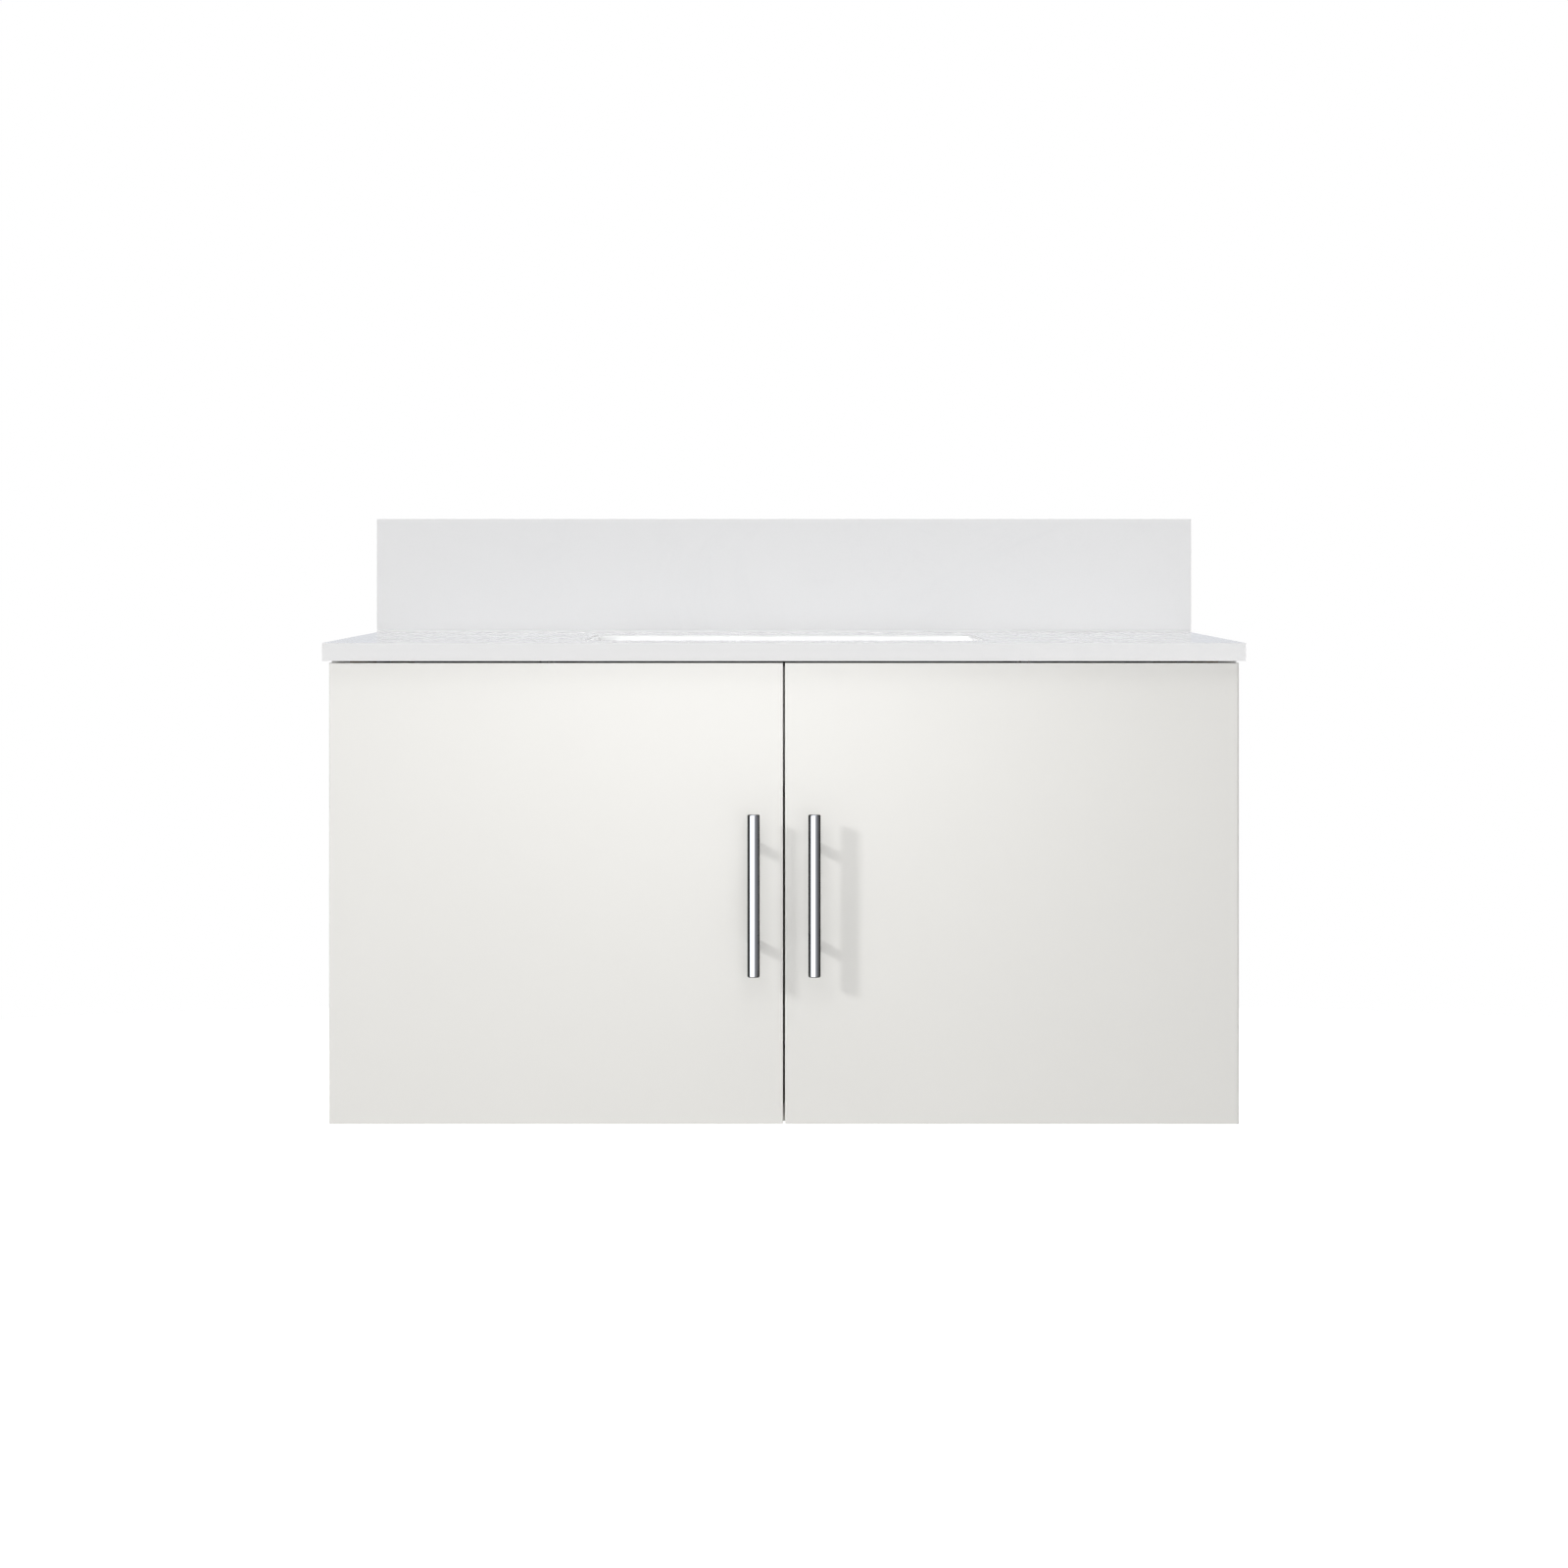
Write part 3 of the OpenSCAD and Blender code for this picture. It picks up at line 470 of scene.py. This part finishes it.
def soft_polymer(name, colour, roughness, depth):
    """Silicone or soft rubber: smooth, slightly translucent, with a faint skin."""
    material, n, shader, coords = new_material(name)
    skin = n.noise(coords, 240.0, detail=3.0)
    darker = tuple(c * 0.94 for c in colour[:3]) + (1,)
    n.fill(shader, {
        "Base Color": n.mix(skin, darker, colour),
        "Roughness": between(n, skin, roughness - 0.05, roughness + 0.08),
        "Subsurface Weight": 0.3, "Subsurface Radius": (depth, depth, depth), "Subsurface Scale": 1.0,
        "Normal": bump(n, skin, 0.00005, 0.4),
    })
    return material


CHROME = (0.56, 0.565, 0.58, 1)
FINISHES = {
    "door_paint": satin_paint("door_paint", (0.8935, 0.882, 0.8465, 1), 0.34, raw_back=False),
    "carcass_paint": satin_paint("carcass_paint", (0.880, 0.869, 0.836, 1), 0.42, raw_back=True),
    "marble": polished_marble(),
    "porcelain": glazed_porcelain(),
    "handle_chrome": plated_metal("handle_chrome", CHROME, 0.04, (0.7, 0.7, 0.7, 1), 0.000001),
    # The bars' chrome carries a painted dark reflection along its outlines
    "bar_chrome": plated_metal("bar_chrome", CHROME, 0.03, (0.12, 0.12, 0.12, 1), 0.000001, painted_dark_edges=0.07),
    "zinc_steel": plated_metal("zinc_steel", (0.62, 0.61, 0.585, 1), 0.26, (0.8, 0.8, 0.8, 1), 0.000008),
    "beech": bare_wood(),
    "sealant": soft_polymer("sealant", (0.82, 0.82, 0.82, 1), 0.36, 0.002),
    "bumper_rubber": soft_polymer("bumper_rubber", (0.72, 0.74, 0.74, 1), 0.30, 0.003),
}

# How wide the eased edges of each kind of node are, by the end of its name
EASED = {
    "door": 0.0006, "worktop": 0.0005, "backsplash": 0.0006, "panel": 0.0004, "rail": 0.0004,
    "blocks": 0.0008, "posts": 0.0002, "arms": 0.0003, "plates": 0.0003, "links": 0.0002,
    "cups": 0.0001, "clips": 0.0003, "nuts": 0.0003, "bumpers": 0.0004,
}
EASED_FROM = math.radians(35)  # flatter edges stay as they are
WELD_REACH = 0.000002
CUT_EDGE = math.radians(60)  # edges of cuts sharper than this show as sharp


def ease_edges(piece, width):
    """Joins the split corners of a CAD mesh, rounds its sharp edges and keeps its flat faces flat."""
    for polygon in piece.data.polygons:
        polygon.use_smooth = True
    weld = piece.modifiers.new("join", "WELD")
    weld.merge_threshold = WELD_REACH
    rounding = piece.modifiers.new("ease", "BEVEL")
    rounding.width = width
    rounding.segments = 3
    rounding.limit_method = "ANGLE"
    rounding.angle_limit = EASED_FROM
    piece.modifiers.new("flatten", "WEIGHTED_NORMAL")


def dress_cad():
    for part in frame["record"]["subparts"]:
        node = part["node"]
        piece = frame["nodes"][node]
        finish = "bar_chrome" if node.endswith("handle_bar") else part["material_slot"]
        for index in range(len(piece.material_slots)):
            piece.material_slots[index].material = FINISHES[finish]
        width = EASED.get(node.rsplit("_", 1)[-1])
        if width:
            ease_edges(piece, width)


# ---------- Basin ----------

def round_outline(grow, corner):
    """Points round a rectangle with round corners, grown from the bowl's rim."""
    half_x, half_y = BOWL_HALF.x + grow, BOWL_HALF.y + grow
    inner_x, inner_y = half_x - corner, half_y - corner
    centres = [(inner_x, inner_y), (-inner_x, inner_y), (-inner_x, -inner_y), (inner_x, -inner_y)]
    points = []
    for quarter, (cx, cy) in enumerate(centres):
        for step in range(CORNER_STEPS + 1):
            angle = math.pi / 2 * (quarter + step / CORNER_STEPS)
            points.append(Vector((cx + corner * math.cos(angle), cy + corner * math.sin(angle))))
        nx, ny = centres[(quarter + 1) % 4]
        angle = math.pi / 2 * (quarter + 1)
        start = points[-1]
        end = Vector((nx + corner * math.cos(angle), ny + corner * math.sin(angle)))
        steps = SIDE_STEPS[quarter % 2]
        points += [start.lerp(end, step / steps) for step in range(1, steps)]
    return points


def round_hole(radius):
    """A circle with as many points as an outline, each in the same direction."""
    points = []
    for corner_point in round_outline(0, RIM_R):
        angle = math.atan2(corner_point.y / BOWL_HALF.y, corner_point.x / BOWL_HALF.x)
        points.append(Vector((radius * math.cos(angle), radius * math.sin(angle))))
    return points


# The basin's skin is a stack of rings. How far out a ring lies is measured from the inside of the rim.

def outline_ring(out, corner, z):
    return [(point.x, point.y, z) for point in round_outline(out, corner)]


def blended_ring(first, last, share, z):
    """A ring part of the way from one outline to another."""
    return [(a.x + (b.x - a.x) * share, a.y + (b.y - a.y) * share, z) for a, b in zip(first, last)]


def rim_ring(side, slope, angle):
    """A ring on a rounded edge of the rim. The slope is 1 at its inside and -1 at its outside."""
    shift = slope * RIM_ROUND * (1 - math.cos(angle))
    return outline_ring(side + shift, RIM_R + side + shift, rim_z - RIM_ROUND * (1 - math.sin(angle)))


def fillet_rings(radius, first, last):
    """Rings round the edge between floor and walls, from one angle to another."""
    rings = []
    for step in range(FILLET_STEPS + 1):
        angle = first + (last - first) * step / FILLET_STEPS
        out = radius * math.cos(angle)
        z = bowl_floor + FLOOR_R + radius * math.sin(angle)
        rings.append(outline_ring(FLOOR_EDGE + out, max(FLOOR_CORNER_R, out), z))
    return rings


def flange_edge_rings(radius, z, first, steps):
    """Rings over one rounded edge of the flange, a quarter turn from the first angle."""
    rings = []
    for step in range(steps + 1):
        angle = first + math.pi / 2 * step / steps
        out = FLANGE - radius + radius * math.cos(angle)
        rings.append(outline_ring(out, FLANGE_CORNER_R, z + radius * math.sin(angle)))
    return rings


def inside_rings():
    """From the top of the rim down the inside to the edge of the floor."""
    rings = [rim_ring(0, 1, math.pi / 2 * (1 - step / ROUND_STEPS)) for step in range(ROUND_STEPS + 1)]
    wall_top = rim_z - RIM_ROUND
    wall_foot = bowl_floor + FLOOR_R - FLOOR_R * math.sin(lean)
    foot_out = FLOOR_EDGE + FLOOR_R * math.cos(lean)
    for step in range(1, WALL_STEPS):
        share = step / WALL_STEPS
        corner = RIM_R + (FLOOR_R - RIM_R) * share
        rings.append(outline_ring(foot_out * share, corner, wall_top + (wall_foot - wall_top) * share))
    return rings + fillet_rings(FLOOR_R, -lean, -math.pi / 2)


def floor_and_drain_rings():
    """Over the floor, down through the drain hole, and back under the floor."""
    edge = round_outline(FLOOR_EDGE + 0.0001, FLOOR_CORNER_R)
    hole = round_hole(RECESS_R + 0.002)
    rings = []
    for step in range(1, FLOOR_STEPS + 1):
        share = step / FLOOR_STEPS
        rings.append(blended_ring(edge, hole, share, bowl_floor - FLOOR_FALL * share))
    seat = bowl_floor - RECESS_DEPTH
    under = bowl_floor - WALL
    foot = basin_low.z
    for radius, z in [
        (RECESS_R, bowl_floor - 2 * FLOOR_FALL), (RECESS_R - SOFT_EDGE, seat),
        (DRAIN_R + SOFT_EDGE, seat), (DRAIN_R, seat - SOFT_EDGE), (DRAIN_R, seat - 0.010),
        (DRAIN_R, foot + SOFT_EDGE), (DRAIN_R + SOFT_EDGE, foot),
        (BOSS_R - BOSS_EDGE, foot), (BOSS_R, foot + BOSS_EDGE), (BOSS_R, under - BOSS_FILLET),
        (BOSS_R + ARC_BOW * BOSS_FILLET, under - ARC_BOW * BOSS_FILLET), (BOSS_R + BOSS_FILLET, under),
    ]:
        rings.append([(point.x, point.y, z) for point in round_hole(radius)])
    neck = round_hole(BOSS_R + BOSS_FILLET)
    rings += [blended_ring(neck, edge, step / FLOOR_STEPS, under) for step in range(1, FLOOR_STEPS)]
    return rings


def outside_rings():
    """From the edge under the floor up the outside of the walls to the flange."""
    rings = fillet_rings(FLOOR_R + WALL, -math.pi / 2, -lean)
    foot_z = rings[-1][0][2]
    foot_out = FLOOR_EDGE + (FLOOR_R + WALL) * math.cos(lean)
    for step in range(1, OUTSIDE_STEPS):
        share = step / OUTSIDE_STEPS
        out = foot_out + (WALL - foot_out) * share
        corner = FLOOR_R + WALL + (RIM_R - FLOOR_R) * share
        rings.append(outline_ring(out, corner, foot_z + (flange_low - FLANGE_FILLET - foot_z) * share))
    near = ARC_BOW * FLANGE_FILLET
    rings.append(outline_ring(WALL + near, RIM_R + WALL, flange_low - near))
    rings.append(outline_ring(WALL + FLANGE_FILLET, RIM_R + WALL + 0.75 * FLANGE_FILLET, flange_low))
    return rings


def flange_rings():
    """Round the flange's edge, in to the collar and up it to the top of the rim."""
    rings = flange_edge_rings(FLANGE_LOW_ROUND, flange_low + FLANGE_LOW_ROUND, -math.pi / 2, ROUND_STEPS)
    rings += flange_edge_rings(FLANGE_TOP_ROUND, flange_top - FLANGE_TOP_ROUND, 0, 3)
    rings.append(outline_ring(COLLAR + COLLAR_FILLET, RIM_R + COLLAR, flange_top))
    rings.append(outline_ring(COLLAR, RIM_R + COLLAR, flange_top + COLLAR_FILLET))
    rings += [rim_ring(COLLAR, -1, math.pi / 2 * step / ROUND_STEPS) for step in range(ROUND_STEPS + 1)]
    return rings


def mesh_object(name, verts, faces):
    mesh = bpy.data.meshes.new(name)
    mesh.from_pydata(verts, [], faces)
    mesh.validate()
    piece = bpy.data.objects.new(name, mesh)
    scene.collection.objects.link(piece)
    shaped = bmesh.new()
    shaped.from_mesh(mesh)
    bmesh.ops.remove_doubles(shaped, verts=shaped.verts, dist=0.00001)
    bmesh.ops.recalc_face_normals(shaped, faces=shaped.faces)
    shaped.to_mesh(mesh)
    shaped.free()
    for polygon in mesh.polygons:
        polygon.use_smooth = True
    return piece


def finish_piece(piece, slot):
    piece.data.materials.append(FINISHES[slot])
    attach(piece, "cabinet")


def outline_block(name, outline, half):
    """Solid with that outline in the Y-Z plane, reaching half to both sides of the basin's middle."""
    count = len(outline)
    verts = [(basin_centre.x + side * half, basin_centre.y + y, z) for side in (-1, 1) for y, z in outline]
    faces = [tuple(range(count)), tuple(range(2 * count - 1, count - 1, -1))]
    faces += [(i, i + count, (i + 1) % count + count, (i + 1) % count) for i in range(count)]
    return mesh_object(name, verts, faces)


def carve(piece, cutters):
    """Cuts the cutters out of the piece, bakes its modifiers and marks the edges of the cuts as sharp."""
    for cutter in cutters:
        cutting = piece.modifiers.new("carve", "BOOLEAN")
        cutting.operation = "DIFFERENCE"
        cutting.object = cutter
        cutting.solver = "EXACT"
    graph = bpy.context.evaluated_depsgraph_get()
    baked = bpy.data.meshes.new_from_object(piece.evaluated_get(graph))
    piece.modifiers.clear()
    piece.data = baked
    baked.set_sharp_from_angle(angle=CUT_EDGE)
    piece.modifiers.new("flatten", "WEIGHTED_NORMAL").keep_sharp = True


def make_bowl():
    rings = inside_rings() + floor_and_drain_rings() + outside_rings() + flange_rings()
    around = len(rings[0])
    verts = [(x + basin_centre.x, y + basin_centre.y, z) for ring in rings for x, y, z in ring]
    faces = []
    for r in range(len(rings)):
        below = (r + 1) % len(rings) * around
        for i in range(around):
            j = (i + 1) % around
            faces.append((r * around + i, r * around + j, below + j, below + i))
    return mesh_object("basin_glazed", verts, faces)


def channel_outline(grow, top, drain_y, into_wall):
    """Side outline of the overflow duct, grown outwards: down the front wall and back to the drain."""
    wall = -BOWL_HALF.y - WALL
    toe = -(BOWL_HALF.y - TAPER - FLOOR_R)
    heel = toe - FLOOR_R - WALL
    duct_top = bowl_floor - DUCT_TOP + grow
    duct_bottom = bowl_floor - DUCT_BOTTOM - grow
    return [
        (wall - DUCT - grow, top), (heel - DUCT - grow, bowl_floor + FLOOR_R),
        (toe - 0.034 - grow, bowl_floor - 0.003 - grow), (toe - 0.006, duct_bottom),
        (drain_y, duct_bottom), (drain_y, duct_top), (toe, duct_top + 0.0005),
        (toe - 0.028, bowl_floor + grow), (heel - 0.001 + grow, bowl_floor + FLOOR_R),
        (wall + into_wall, top),
    ]


def make_overflow_channel():
    """Outside of the channel on the front wall, from the flange to the drain."""
    outline = channel_outline(CHANNEL_WALL, flange_low + 0.001, -DRAIN_R - 0.004, into_wall=0.005)
    channel = outline_block("basin_overflow_channel", outline, CHANNEL_HALF)
    rounding = channel.modifiers.new("ease", "BEVEL")
    rounding.width = 0.004
    rounding.segments = 4
    rounding.limit_method = "ANGLE"
    return channel


def overflow_cutters():
    """The overflow hole through the front wall, and the duct that leads from it down to the drain."""
    bpy.ops.mesh.primitive_cylinder_add(
        vertices=48, radius=OVERFLOW_R, depth=OVERFLOW_DEPTH, rotation=(math.pi / 2, 0, 0),
        location=(basin_centre.x, basin_centre.y - BOWL_HALF.y + OVERFLOW_SHIFT, top_z - OVERFLOW_BELOW))
    hole = bpy.context.object
    outline = channel_outline(0, flange_low - 0.006, -DRAIN_R + 0.006, into_wall=-0.001)
    return [hole, outline_block("duct", outline, DUCT_HALF)]


def make_basin():
    basin = make_bowl()
    channel = make_overflow_channel()
    cutters = overflow_cutters()
    for piece in (basin, channel):
        carve(piece, cutters)
        finish_piece(piece, "porcelain")
    for cutter in cutters:
        bpy.data.objects.remove(cutter)
    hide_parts("basin")


make_camera()
make_world()
make_floor()
for *settings, _reach in LAMPS:
    add_lamp(*settings)
dress_cad()
make_basin()
limit_lamps()
scene.view_settings.view_transform = "Standard"
